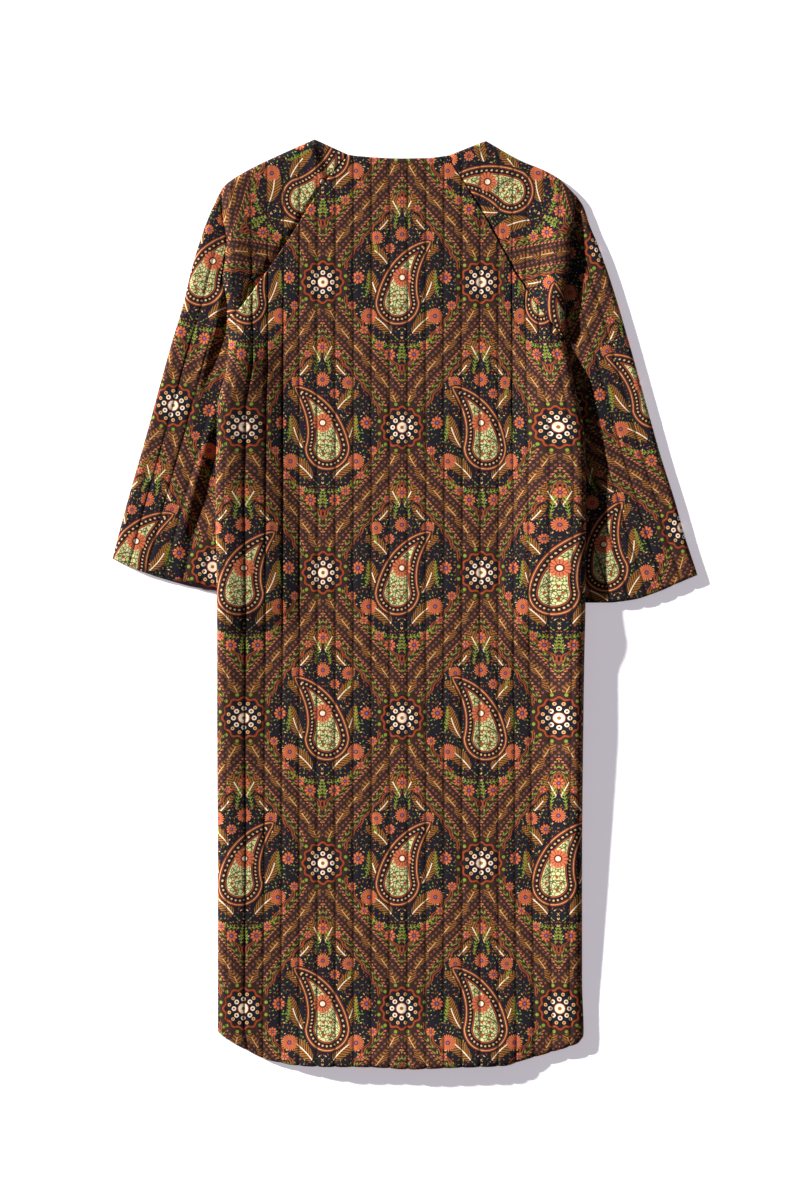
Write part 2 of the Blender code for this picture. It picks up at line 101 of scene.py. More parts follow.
# The printed cotton: a fine plain weave, printed in a traditional paisley layout. Paisley drops,
# flowers and ribbed leaves fill half-dropped ogees, and rosettes lie where the ogees touch.
# It is quilted in straight channels, and its stitches pull the cloth down into grooves.
def maths(operation, reflected=False):
    """A method that adds one Math node, with the value itself first, or last when reflected."""

    def method(self, *others):
        values = (*others, self) if reflected else (self, *others)
        return self.shader.node("ShaderNodeMath", {"operation": operation}, dict(enumerate(values)))

    return method


class Value:
    """A number that varies over the cloth. Each operator adds the Math node that works it out."""

    def __init__(self, shader, socket):
        self.shader = shader
        self.socket = socket

    __add__ = maths("ADD")
    __radd__ = maths("ADD", True)
    __sub__ = maths("SUBTRACT")
    __rsub__ = maths("SUBTRACT", True)
    __mul__ = maths("MULTIPLY")
    __rmul__ = maths("MULTIPLY", True)
    __truediv__ = maths("DIVIDE")
    __pow__ = maths("POWER")
    __abs__ = maths("ABSOLUTE")
    __lt__ = maths("LESS_THAN")
    __gt__ = maths("GREATER_THAN")
    __and__ = maths("MULTIPLY")
    __or__ = maths("MAXIMUM")
    sine = maths("SINE")
    cosine = maths("COSINE")
    root = maths("SQRT")
    least = maths("MINIMUM")
    most = maths("MAXIMUM")
    wrapped = maths("WRAP")
    # The angle of the place that lies this far up and the other value across
    angle = maths("ARCTAN2")
    # The part after the point, from 0 to 1
    share = maths("FRACT")
    # To and fro between 0 and a half
    folded = maths("PINGPONG")
    # Times a factor, plus a start
    scaled = maths("MULTIPLY_ADD")

    def length(self, other):
        """How long the slanting side is, between this and the other at a right angle."""
        return self.scaled(self, other * other).root()

    def output(self, name):
        return Value(self.shader, self.socket.node.outputs[name])


class Shader:
    """A material's nodes, added one by one."""

    def __init__(self, name):
        self.material = bpy.data.materials.new(name)
        self.material.use_nodes = True
        self.tree = self.material.node_tree
        self.tree.nodes.clear()

    def node(self, kind, settings, inputs):
        """A new node: its settings first, then the values or links of its sockets."""
        made = self.tree.nodes.new(kind)
        for name, setting in settings.items():
            setattr(made, name, setting)
        for key, value in inputs.items():
            if isinstance(value, Value):
                self.tree.links.new(value.socket, made.inputs[key])
            else:
                made.inputs[key].default_value = value
        return Value(self, made.outputs[0]) if made.outputs else None

    def place(self, name):
        """A place on one of the cloth's maps: as a whole, across and up."""
        whole = self.node("ShaderNodeUVMap", {"uv_map": name}, {})
        across = self.node("ShaderNodeSeparateXYZ", {}, {0: whole})
        return whole, across, across.output("Y")

    def noise(self, place, scale, detail):
        return self.node("ShaderNodeTexNoise", {}, {"Vector": place, "Scale": scale, "Detail": detail})

    def paint(self, under, mask, over):
        """The colour over where the mask is 1, and the colour under elsewhere."""
        mix = self.node("ShaderNodeMix", {"data_type": "RGBA"}, {0: mask, 6: under, 7: over})
        return mix.output(2)

    def skin(self, sockets):
        """Ends the material with a skin that has these sockets."""
        self.node("ShaderNodeOutputMaterial", {}, {0: self.node("ShaderNodeBsdfPrincipled", {}, sockets)})
        return self.material


def dye(code):
    """A dye's colour, from its screen value in hexadecimal."""
    parts = [int(code[i : i + 2], 16) / 255 for i in (0, 2, 4)]
    return (*[p / 12.92 if p <= 0.04045 else ((p + 0.055) / 1.055) ** 2.4 for p in parts], 1)


NAVY = dye("1b1820")
BROWN = dye("35221c")
PINK_BROWN = dye("7d4a39")
OCHRE = dye("96622c")
OCHRE_DARK = dye("4a2a12")
GARLAND = dye("925f33")
OCHRE_LIGHT = dye("d4a66c")
RUST = dye("98421f")
RUST_DARK = dye("6e2c18")
CORAL = dye("c86e4a")
LIME = dye("7f9132")
LIME_PALE = dye("cfc98e")
OLIVE = dye("565a30")
CREAM = dye("f4e0c4")
VIOLET = dye("6a5f9a")

# One repeat of the print, in millimetres
REPEAT_WIDE = 209.0
REPEAT_HIGH = 377.0


def banded(paint, colour, depth, *bands):
    """Bands of colour: each lies inside its own edge, over the bands before it."""
    for edge, band in bands:
        colour = paint(colour, depth < edge, band)
    return colour


def leaf(x, y, place, turn, length, width, pitch, bend, fullness):
    """A ribbed leaf: where it is, where its ribs lie, how far off its midrib, and how far along it."""
    c, s = math.cos(math.radians(turn)), math.sin(math.radians(turn))
    along = y.scaled(s, x.scaled(c, -place[0] * c - place[1] * s))
    aside = y.scaled(c, x.scaled(-s, place[0] * s - place[1] * c))
    bow = along * (length - along)
    if bend:
        aside = bow.scaled(-bend, aside)
    off = abs(aside)
    rib = off.scaled(-0.9 / pitch, along / pitch).share()
    half = bow.root() * rib.scaled(0.6 * width / length, 1.5 * width / length)
    return off < half, rib < fullness, off, along


def feather(paint, colour, x, y, place, turn, length, width, bend):
    """A brown leaf with dark ribs and a pale midrib."""
    inside, ribs, off, along = leaf(x, y, place, turn, length, width, 4.0, bend, 0.46)
    ribbed = paint(OCHRE, ribs, OCHRE_DARK)
    ribbed = paint(ribbed, (off < 0.65) & (along < length * 0.66), CREAM)
    return paint(colour, inside, ribbed)


def sprig(paint, colour, x, y, place, turn, length, width, bend):
    """A green sprig: leaflets along a stem."""
    inside, leaflets, off, _ = leaf(x, y, place, turn, length, width * 0.85, 4.4, bend, 0.36)
    return paint(colour, inside & (leaflets | (off < 0.35)), LIME)


def bloom(x, y, place, size, petals):
    """A round flower: distance from its middle as a share of its size, and how far over a petal."""
    dx, dy = x - place[0], y - place[1]
    away = dx.length(dy) / size
    petal = abs((dy.angle(dx) * (petals / 2)).cosine())
    return away, petal


def flower(paint, colour, x, y, place, size, petals, core):
    """A rust flower with light petals and a violet eye."""
    away, petal = bloom(x, y, place, size, petals)
    petalled = paint(RUST, petal > 0.66, CORAL)
    petalled = banded(paint, petalled, away, (core, RUST_DARK), (core * 0.5, VIOLET))
    return paint(colour, away < petal.scaled(0.24, 0.78), petalled)


def ring(away, angle, radius, count, offset):
    """The distance to the nearest of some dots that stand in a ring."""
    turned = (angle + offset).folded(math.pi / count)
    along = away.scaled(turned.cosine(), -radius)
    aside = away * turned.sine()
    return along.length(aside)


# Where each motif lies inside an ogee, then its turn, length, width and bend
FEATHERS = (
    ((14, -66), 38, 46, 9.5, 0.006), ((27, -26), 70, 44, 7.5, -0.006), ((20, 24), 40, 36, 7.5, 0.008),
    ((3, 88), 62, 30, 6.0, 0), ((30, 68), 128, 26, 5.0, 0.006),
)
SPRIGS = (
    ((6, -84), 20, 40, 4.6, -0.008), ((48, -18), 96, 34, 4.2, 0.006), ((10, 70), 100, 38, 4.2, 0),
    ((32, 36), 70, 28, 4.0, 0), ((4, -104), 96, 24, 3.6, 0),
)

# Where each flower lies, then its size, its petals and how large its core is
FLOWERS = (
    ((16, 44), 6.5, 10, 0.4), ((0, 62), 9.0, 16, 0.32), ((30, -82), 6.0, 8, 0.4), ((66, -30), 5.6, 8, 0.4),
    ((44, -44), 10.5, 22, 0.28), ((58, 6), 8.0, 9, 0.42), ((16, -94), 7.5, 9, 0.42), ((34, 58), 8.5, 18, 0.3),
    ((0, 104), 7.0, 8, 0.4), ((50, -62), 5.0, 6, 0.4), ((20, 96), 4.6, 6, 0.4),
)


def printed(shader, u, v):
    """The colour of the print at u across and v up the cloth, both in millimetres."""
    paint = shader.paint
    half_wide, half_high = REPEAT_WIDE / 2, REPEAT_HIGH / 2

    # The nearest ogee's own middle, and how far inside it the place lies
    folded_u, folded_v = u.folded(half_wide), v.folded(half_high)
    first = folded_u < ((folded_v * (math.tau / REPEAT_HIGH)).cosine() + 1) * (REPEAT_WIDE / 4)
    x_first = u.wrapped(half_wide, -half_wide)
    x_second = half_wide - u.wrapped(REPEAT_WIDE, 0)
    y_first = v.wrapped(half_high, -half_high)
    y_second = v.wrapped(REPEAT_HIGH, 0) - half_high
    signed_x = first.scaled(x_first - x_second, x_second)
    y = first.scaled(y_first - y_second, y_second)
    x = abs(signed_x)
    phase = y * (math.tau / REPEAT_HIGH)
    slope = phase.sine() * (math.pi / 2 * REPEAT_WIDE / REPEAT_HIGH)
    inward = ((phase.cosine() + 1) * (REPEAT_WIDE / 4) - x) / slope.scaled(slope, 1).root()
    along = (phase * 2).sine().scaled(-4.8, y * 1.17)

    # Ground: navy inside the ogees, brown with small crosses in a band along them
    colour = paint(BROWN, inward > 27, NAVY)
    gx = abs(((x + y) / 8.2).share() - 0.5)
    gy = abs(((x - y) / 8.2).share() - 0.5)
    crosses = (gx.least(gy) < 0.1) & (gx.most(gy) < 0.3)
    colour = paint(colour, crosses & (inward < 26.4), PINK_BROWN)

    # Seeds scattered over the navy, each lying its own way
    sx, sy = x / 5.6, y / 5.6
    spot = shader.node("ShaderNodeCombineXYZ", {}, {0: sx, 1: sy})
    cell = shader.node("ShaderNodeTexVoronoi", {"feature": "F1"}, {0: spot, "Scale": 1.0, "Randomness": 0.8})
    cell = cell.output("Color")
    chance = shader.node("ShaderNodeSeparateColor", {}, {0: cell})
    middle = shader.node("ShaderNodeSeparateXYZ", {}, {0: cell.output("Position")})
    sx, sy = sx - middle, sy - middle.output("Y")
    way = chance * 6.28
    cosine, sine = way.cosine(), way.sine()
    lengthways = sx.scaled(cosine, sy * sine)
    sideways = sy * cosine - sx * sine
    seed = (lengthways * lengthways).scaled(0.18, sideways * sideways) < 0.0143
    kind = chance.output("Blue")
    seed_dye = OLIVE
    for least, lighter in ((0.28, LIME), (0.45, OCHRE), (0.66, RUST), (0.88, OCHRE_LIGHT)):
        seed_dye = paint(seed_dye, kind > least, lighter)
    colour = paint(colour, seed & (chance.output("Green") > 0.12) & (inward > 27.5), seed_dye)

    # Lines along the ogees: waved rust and ochre ones, beads, and pairs of green leaflets
    wave = (along * (math.tau / 18.375)).cosine() * 1.4
    colour = paint(colour, abs(inward - 26.8 - wave) < 0.75, RUST)
    colour = paint(colour, abs(inward - 24 - wave) < 0.4, OCHRE)
    bead_along = (along / 4.594).share().scaled(4.594, -2.297)
    bead_across = inward - 14.5
    colour = paint(colour, bead_along.scaled(bead_along, bead_across * bead_across) < 1.3, CORAL)
    off_twig = abs(inward - 19.2)
    twig = ((along - off_twig * 1.3) / 9.1875).share()
    colour = paint(colour, (twig < 0.3) & (off_twig < 2.8) & (off_twig > 0.5), LIME)

    # A garland of ribbed leaves end to end on the ogees themselves
    step = (along / 27.5625).share()
    rib = ((along - inward * 0.8) / 4.59375).share()
    ribbed = paint(OCHRE_DARK, rib < 0.5, GARLAND)
    ribbed = paint(ribbed, (inward < 0.5) & (step < 0.6), OCHRE_LIGHT)
    colour = paint(colour, inward < (step * math.pi).sine() * rib.scaled(1.2, 5.0) + 0.5, ribbed)

    # Feathered leaves, sprigs and flowers, in pairs beside the paisley
    for draw, motifs in ((feather, FEATHERS), (sprig, SPRIGS), (flower, FLOWERS)):
        for motif in motifs:
            colour = draw(paint, colour, x, y, *motif)

    # The paisley: a drop round its head, whose tail bends over
    head_x, head_y, bend_radius, full = -6.0, -26.0, 92.0, 27.0
    from_head, up = signed_x - head_x, y - head_y
    from_bend = from_head - bend_radius
    turned = math.pi - abs(up.angle(from_bend))
    left = 1 - turned
    thin = left.most(0) ** 0.72 * full
    past_tip = left.least(0) * -90
    tail = abs(from_bend.length(up) - bend_radius) - thin + past_tip
    from_middle = from_head.length(up)
    above = up > 0
    depth = above.scaled(tail - from_middle + full, from_middle - full)
    colour = banded(
        paint, colour, depth, (4.4, NAVY), (2.6, RUST), (1.2, OCHRE_LIGHT), (0.4, RUST_DARK), (-1.4, NAVY)
    )
    around = up.angle(from_head)
    bead_tail = (turned * (bend_radius / 5.6)).share().scaled(5.6, -2.8)
    bead_head = (around * 4.2).share().scaled(5.2, -2.6)
    bead_along = above.scaled(bead_tail - bead_head, bead_head)
    bead_across = depth + 4.6
    colour = paint(colour, bead_along.scaled(bead_along, bead_across * bead_across) < 1.7, OCHRE_LIGHT)
    colour = banded(paint, colour, depth, (-8.2, RUST), (-9.4, RUST_DARK), (-10.4, LIME_PALE))
    spot = shader.node("ShaderNodeCombineXYZ", {}, {0: x / 4.2, 1: y / 4.2})
    net = shader.node(
        "ShaderNodeTexVoronoi", {"feature": "DISTANCE_TO_EDGE"}, {0: spot, "Scale": 1.0, "Randomness": 1.0}
    )
    colour = paint(colour, (net.output("Distance") < 0.1) & (depth < -10.9), OLIVE)
    away, petal = bloom(signed_x, y, (0.0, 6.0), 12.5, 14)
    petalled = banded(paint, paint(RUST, petal > 0.5, CORAL), away, (0.42, RUST_DARK), (0.26, CREAM))
    colour = paint(colour, away < petal.scaled(0.24, 0.8), petalled)
    colour = paint(colour, ring(from_middle, around, 9.5, 6, 0.0) < 2.0, RUST)

    # Rosettes of cream dots where the ogees touch
    beside, over = folded_u - half_wide, folded_v - half_high
    to_side = beside.length(folded_v)
    to_tip = folded_u.length(over)
    near_side = to_side < to_tip
    ray_x = near_side.scaled(beside - folded_u, folded_u)
    ray_y = near_side.scaled(folded_v - over, over)
    away = to_side.least(to_tip)
    angle = ray_y.angle(ray_x)
    edge = (angle * 12).cosine().scaled(-1.5, away)
    colour = paint(colour, away < 34, BROWN)
    colour = paint(colour, ring(away, angle, 31.0, 12, math.pi / 12) < 2.2, LIME)
    colour = banded(
        paint, colour, edge, (29.2, OCHRE_DARK), (28.4, NAVY), (27.0, RUST), (24.6, RUST_DARK), (23.8, NAVY)
    )
    outer_dots = ring(away, angle, 19.0, 12, math.pi / 12)
    colour = banded(paint, colour, outer_dots, (2.3, OCHRE_LIGHT), (1.1, RUST))
    inner_dots = ring(away, angle, 12.3, 8, 0.0)
    colour = banded(paint, colour, inner_dots, (3.0, CREAM), (1.4, RUST))
    return banded(paint, colour, away, (7.6, RUST), (6.4, CREAM), (2.4, OCHRE))


# Channels of quilting, and the stitches along their lines, in millimetres
CHANNEL = 23.5
STITCH = 3.2
THREAD = 0.35


def woven(u, v, apart):
    """How high the warp and the weft stand: threads that run both ways, with this far between them."""
    rate = math.tau / apart
    return abs((u * rate).sine()) + abs((v * rate).sine())


def quilted_cotton(name):
    """The printed cotton: its first map is the print's, its second the quilting's, both in metres."""
    shader = Shader(name)
    cloth, cloth_u, cloth_v = shader.place("print")
    colour = printed(shader, cloth_u * 1000, cloth_v * 1000)
    _, quilt_u, quilt_v = shader.place("quilt")
    across, up = quilt_u * 1000, quilt_v * 1000
    from_line = across.folded(CHANNEL / 2)
    stitch = (up / STITCH).share()
    thread = (from_line < THREAD) & (stitch > 0.22)
    hole = (from_line < THREAD * 1.6) & (stitch < 0.22)

    weave = shader.noise(cloth, 1900.0, 2.0)
    worn = shader.noise(cloth, 26.0, 4.0)
    # Painted shade: the colour is darkened by up to half within 2.4 mm of each stitched line, where the
    # grooves lie in shade. The weave and wear noise below is the cloth's own tone.
    groove = shader.node("ShaderNodeMapRange", {}, {0: from_line, 1: 0.3, 2: 2.4, 3: 1.0, 4: 0.0})
    weave_wear_and_groove_shade = 1.08 - groove * 0.5 - abs(weave - 0.5) * 0.3 + (worn - 0.5) * 0.18
    tone = shader.node("ShaderNodeCombineColor", {}, {0: weave_wear_and_groove_shade, 1: weave_wear_and_groove_shade, 2: weave_wear_and_groove_shade})
    toned = shader.node(
        "ShaderNodeMix", {"data_type": "RGBA", "blend_type": "MULTIPLY"}, {0: 1.0, 6: colour, 7: tone}
    ).output(2)
    toned = shader.paint(toned, thread, dye("2e211b"))
    roughness = (worn - 0.5).scaled(0.12, 0.84)

    # Threads of the weave, puckers that run away from the stitched lines, and the stitches
    threads = woven(cloth_u, cloth_v, 0.0009)
    pull = shader.node("ShaderNodeCombineXYZ", {}, {0: across / 34.0, 1: up / 5.2})
    pucker = shader.noise(pull, 1.0, 2.0)
    near_line = shader.node("ShaderNodeMapRange", {}, {0: from_line, 1: 0.0, 2: 9.0, 3: 1.0, 4: 0.12})
    height = threads * 0.00003 + pucker * near_line * 0.0016 - hole * 0.0003 + thread * 0.00012
    bump = shader.node("ShaderNodeBump", {}, {"Height": height, "Strength": 0.8, "Distance": 1.0})
    sheen = {"Sheen Weight": 0.03, "Sheen Roughness": 0.5}
    return shader.skin(
        {"Base Color": toned, "Roughness": roughness, "Specular IOR Level": 0.12, "Normal": bump, **sheen}
    )


def lining_cotton(name):
    """The plain lining: a thin mauve-grey weave with a slight sheen."""
    shader = Shader(name)
    cloth, cloth_u, cloth_v = shader.place("print")
    worn = shader.noise(cloth, 60.0, 3.0)
    colour = shader.paint(dye("79686e"), worn, dye("8e7d84"))
    height = woven(cloth_u, cloth_v, 0.0007) * 0.00003 + worn * 0.0004
    bump = shader.node("ShaderNodeBump", {}, {"Height": height, "Strength": 0.7})
    return shader.skin({"Base Color": colour, "Roughness": 0.7, "Specular IOR Level": 0.3, "Normal": bump})


# The back: printed cotton, wadding and lining quilted together in straight channels from the hem
# up to the neckline. Its top corners are cut away along the raglan seams, its sides roll down to
# the side seams, and the sleeves under its edges lift it. Heights are over the table, in millimetres.
MM = 0.001
UNDER = 3.4
BETWEEN = 0.7
STITCHED = 3.6
PUFFED = 5.1
# Less than nothing: the pieces overlap a little, so that no light falls through their seams
SEAM_GAP = -0.12
SEAM_REACH = 1.5
FIRST_LINE = 11.5
CHANNELS = 19
SIDE_ZONE = 20.0
BLEND_ZONE = 90.0
SIDE_BAND = (70.0, 12.0)
ROLL = 6.5
ROLL_CREST = 8.0
ROLL_FADE = 26.0
SIDE_MIDDLE = 6.5
SIDE_RISE = 7.5
SWELL = 2.6
SWELL_CREST = 14.0
SWELL_FADE = 30.0
LIFT = 7.8
LIFT_ENDS = 55.0
LIFT_WIDTH = 60.0
LIFT_MARGIN = 12.0
LIFT_CLEARANCE = 1.3
HEM_LIFT = 10.0
HEM_CURL_UP = (-530, -600)
HEM_CURL_OUT = (190, 90)
SHELL = 1.7

# Where points lie within a channel, and how far from the edge where the cloth rounds over it
CHANNEL_SHARES = np.array([0, 0.045, 0.13, 0.3, 0.5, 0.7, 0.87, 0.955])
EDGE_STEPS = np.array([0, 0.5, 1.4, 2.8, 4.8, 7.4])
SIDE_STEPS = np.array([0, 0.25, 0.8, 1.8, 3.2, 5.0, 7.2, 9.5])
BESIDE_LAST_LINE = np.array([1.1, 3.2])
BACK_ROWS = 236


def table(names, *rows):
    """Reads a short table by its column names."""
    return dict(zip(names.split(), np.array(rows, float).T))


SIDES = table(
    "y left right",
    (-566, 240, 231), (-555, 243, 232), (-490, 243, 230), (-350, 243, 230), (-130, 244, 232), (0, 244, 234),
    (150, 246, 235), (220, 244, 233), (252, 244, 227), (283, 237, 220), (315, 230, 214), (343, 229, 208),
    (368, 231, 206),
)
HEM = table(
    "x y",
    (-243, -555), (-233, -566), (-201, -583), (-178, -592), (-136, -599), (-32, -601), (6, -603), (97, -600),
    (129, -599), (155, -592), (200, -579), (226, -570), (232, -562),
)
ROLL_RISE = table(
    "y left right",
    (-575, 0.5, 0.5), (-515, 1.0, 1.0), (-385, 2.0, 5.5), (-260, 2.4, 9.0), (-150, 2.8, 11.5),
    (-60, 3.6, 11.0), (15, 5.2, 5.2),
)
HEM_LEFT = HEM["x"][0]
HEM_WIDTH = HEM["x"][-1] - HEM_LEFT
NECK = table("x y", (-74, 583), (-60, 581), (-6, 578), (30, 578.6), (57, 582))
SLEEVES = {
    "left": {
        "side": -1,
        "armpit": (231, 368),
        "raglan": table(
            "out y",
            (74, 583), (84, 570), (99, 554), (121, 522), (150, 475), (185, 424), (220, 377), (231, 368),
        ),
        "front raglan": table("out y", (87, 531), (140, 468), (190, 410), (231, 368)),
        "shoulder": table("out y", (117.5, 603), (171, 579), (200, 565), (232, 545), (238.5, 537.5)),
        "outer": table(
            "y out",
            (0, 394), (58, 380), (131, 361), (215, 337), (339, 303), (389, 288), (435, 277), (478, 264),
            (514, 250), (537.5, 238.5),
        ),
        "inner": table(
            "y out",
            (0, 199), (150, 214), (250, 220), (280, 221), (297, 221), (315, 221), (343, 225), (368, 231),
            (387, 230), (422, 238), (470, 231), (505, 237), (537.5, 238.5),
        ),
        "cuff": table(
            "across y under",
            (0, 58, 58), (34, 44, 44), (72, 33.5, 32), (116, 25, 20.5), (146, 20, 13.5), (200, 16, 8),
        ),
    },
    "right": {
        "side": 1,
        "armpit": (208, 343),
        "raglan": table(
            "out y",
            (57, 582), (62, 570), (73, 553), (107, 497), (127, 460), (146, 426), (187, 368.5), (208, 343),
        ),
        "front raglan": table("out y", (74, 531), (120, 445), (170, 383), (208, 343)),
        "shoulder": table("out y", (105, 601), (151, 575), (179, 563.5), (199, 552.5), (223, 529)),
        "outer": table(
            "y out",
            (-10, 394), (37, 380), (89, 363), (132, 351), (194, 331.5), (264, 312), (339, 291), (407, 271),
            (465, 251), (491, 240), (515, 232), (529, 223),
        ),
        "inner": table(
            "y out",
            (-10, 189), (150, 203), (250, 213), (270, 213.5), (287, 213.5), (315, 209.5), (343, 208),
            (367, 206.5), (388, 205.5), (441, 213), (474, 214.5), (493, 219.5), (529, 223),
        ),
        "cuff": table(
            "across y under",
            (0, 37, 37), (27, 27, 27), (58, 15, 15), (95, 4.5, 4.5), (129, 1, 1), (159, 1, 1), (205, 4, 4),
        ),
    },
}


def smooth(at, rows, known, wanted):
    """Reads a column of a table by another, on a smooth curve that never swings past the rows."""
    knots, values = rows[known], rows[wanted]
    slope = np.diff(values) / np.diff(knots)
    tangent = np.zeros(len(knots))
    before, after = slope[:-1], slope[1:]
    product = before * after
    total = np.where(product > 0, before + after, 1.0)
    tangent[1:-1] = np.where(product > 0, 2 * product / total, 0.0)
    tangent[0], tangent[-1] = slope[0], slope[-1]
    held = np.clip(at, knots[0], knots[-1])
    i = np.clip(np.searchsorted(knots, held) - 1, 0, len(slope) - 1)
    width = knots[i + 1] - knots[i]
    t = (held - knots[i]) / width
    rise = (2 * t**3 - 3 * t**2 + 1) * values[i] + (3 * t**2 - 2 * t**3) * values[i + 1]
    lean = (t**3 - 2 * t**2 + t) * tangent[i] + (t**3 - t**2) * tangent[i + 1]
    beyond = at - held
    return rise + width * lean + beyond * np.where(beyond < 0, tangent[0], tangent[-1])


def ease(value, start, end):
    """Goes smoothly from 0 at start to 1 at end."""
    t = np.clip((value - start) / (end - start), 0, 1)
    return t * t * (3 - 2 * t)


def lengths(*coordinates):
    """How far along a line of points each of them lies."""
    steps = np.sqrt(sum(np.diff(values) ** 2 for values in coordinates))
    return np.concatenate(([0], np.cumsum(steps)))


def rounded(distance, radius):
    """A quarter round: 0 at the edge and 1 from radius on."""
    return np.sqrt(1 - (1 - np.clip(distance / radius, 0, 1)) ** 2)


def turned_down(z, low, distance, radius):
    """Heights that round over towards an edge and end low there."""
    return low + (z - low) * rounded(distance, radius)


def faded(distance, start, width):
    """Full up to start, and then fading away over about the width."""
    return np.exp(-((np.maximum(0, distance - start) / width) ** 2))


def puff(share):
    """How full the wadding stands over one channel: a soft round between two grooves."""
    t = np.abs(2 * share - 1)
    return 1 - np.clip(t, 0, 1) ** 3.8


def uneven(x, y, size, turn):
    """Soft waves from -1 to 1, about size apart, which differ with turn."""
    total = 0.0
    for i in range(4):
        way = turn * 1.7 + i * 2.4
        rate = math.tau / size * (0.7 + 0.25 * i)
        total = total + np.sin(rate * (x * math.cos(way) + y * math.sin(way)) + turn * 3.1 + i)
    return total / 4


def plump(x, y, wide, fine, turn):
    """How much fuller or flatter than usual the wadding is, by wide and fine waves."""
    return 1 + 0.13 * uneven(x, y, wide, turn) + 0.08 * uneven(x, y, fine, turn + 1)


def side_out(name, y):
    """The body's side line below the armpit, and the sleeve's fold line above it."""
    sleeve = SLEEVES[name]
    below = smooth(y, SIDES, "y", name)
    above = smooth(y, sleeve["inner"], "y", "out")
    return np.where(y <= sleeve["armpit"][1], below, above)


def sleeve_below(x, y):
    """How fully a sleeve's underarm lies below the body here, from 0 to 1."""
    found = np.zeros(np.shape(x))
    for sleeve in SLEEVES.values():
        top = sleeve["armpit"][1]
        cuff = sleeve["cuff"]["y"][-2]
        inner = smooth(np.minimum(y, top), sleeve["inner"], "y", "out") - LIFT_MARGIN
        across = ease(np.abs(x), inner - LIFT_WIDTH, inner)
        ends = ease(y, top, top - LIFT_ENDS) * ease(y, cuff - LIFT_ENDS - 10, cuff - 10)
        found = np.where(sleeve["side"] * x > 0, across * ends, found)
    return found


def hem_curl(x, y):
    """How fully the middle of the hem curls up here, from 0 to 1."""
    return ease(y, *HEM_CURL_UP) * ease(np.abs(x), *HEM_CURL_OUT)


def lift(x, y):
    """How far the body is held off the table."""
    return LIFT * sleeve_below(x, y) + HEM_LIFT * hem_curl(x, y)


def upper_inner(x, y, inset):
    """The underside of the upper layer, which stands off a little where the body bends."""
    swell = ease(inset, 0, SWELL_CREST) * faded(inset, SWELL_CREST, SWELL_FADE)
    below = sleeve_below(x, y)
    clear = LIFT_CLEARANCE * (np.sqrt(4 * below * (1 - below)) + hem_curl(x, y))
    return lift(x, y) + UNDER + BETWEEN + clear + SWELL * swell


def side_roll(x, y, inset):
    """How far the cloth stands up in the roll along the body's side."""
    rise = [np.interp(y, ROLL_RISE["y"], ROLL_RISE[name]) for name in SLEEVES]
    return np.where(x < 0, *rise) * faded(inset, ROLL_CREST, ROLL_FADE)


def snapped(values, target):
    """The values with the nearest one moved to the target."""
    values = np.array(values, float)
    values[np.argmin(abs(values - target))] = target
    return values


def body_columns(shares, corners):
    """Distances across the body, where each column tops out, and how full its wadding stands."""
    left, right = SLEEVES["left"], SLEEVES["right"]
    lines = [FIRST_LINE + CHANNEL * (i + s) for i in range(CHANNELS) for s in shares]
    last_line = FIRST_LINE + CHANNEL * CHANNELS
    lines += [last_line, *(last_line + BESIDE_LAST_LINE), *(HEM_WIDTH - SIDE_STEPS[::-1])]
    across = np.array([*SIDE_STEPS, *lines])
    ahead = HEM_WIDTH - across
    by_side = np.where(across < ahead, across - left["armpit"][0], right["armpit"][0] - ahead)
    middle = np.clip((np.minimum(across, ahead) - SIDE_ZONE) / BLEND_ZONE, 0, 1)
    tops = by_side + (HEM_LEFT + across - by_side) * middle
    for corner in corners:
        tops = snapped(tops, corner)
    share = (across - FIRST_LINE) / CHANNEL
    share = np.where(share < 0, 0.5 * across / FIRST_LINE + 0.5, share)
    share = np.where(across > last_line, 0.5 * (across - last_line) / (HEM_WIDTH - last_line), share % 1)
    return across, tops, puff(np.where(np.isclose(across, last_line), 0, share))


def rows_along(length, count):
    """Distances up each column, close together at both ends where the cloth rounds over."""
    length = np.asarray(length, float)[:, None]
    tight = np.minimum(1, length / 40)
    ends = EDGE_STEPS * tight
    even = np.linspace(0, 1, count)[1:-1]
    reach = EDGE_STEPS[-1] * tight
    return np.hstack((ends, reach + (length - 2 * reach) * even, length - ends[:, ::-1]))


def seam_point(sleeve, raglan, x, away):
    """A point of a raglan seam: away is 1 on the sleeve's side of the gap and -1 on the body's."""
    out = abs(x)
    seam = sleeve[raglan]
    start = max(out - SEAM_REACH, seam["out"][0])
    end = min(out + SEAM_REACH, seam["out"][-1])
    slope = (smooth(end, seam, "out", "y") - smooth(start, seam, "out", "y")) / (end - start)
    size = math.hypot(slope, 1) / (SEAM_GAP / 2) * away
    return sleeve["side"] * (out - slope / size), float(smooth(out, seam, "out", "y")) + 1 / size


def body_top(x, raglan, neck):
    """The upper end of a body column: on a raglan seam or on the neckline."""
    sleeve = SLEEVES["left" if x < 0 else "right"]
    if abs(x) >= sleeve[raglan]["out"][0]:
        return seam_point(sleeve, raglan, x, -1)
    return x, float(smooth(x, neck, "x", "y"))


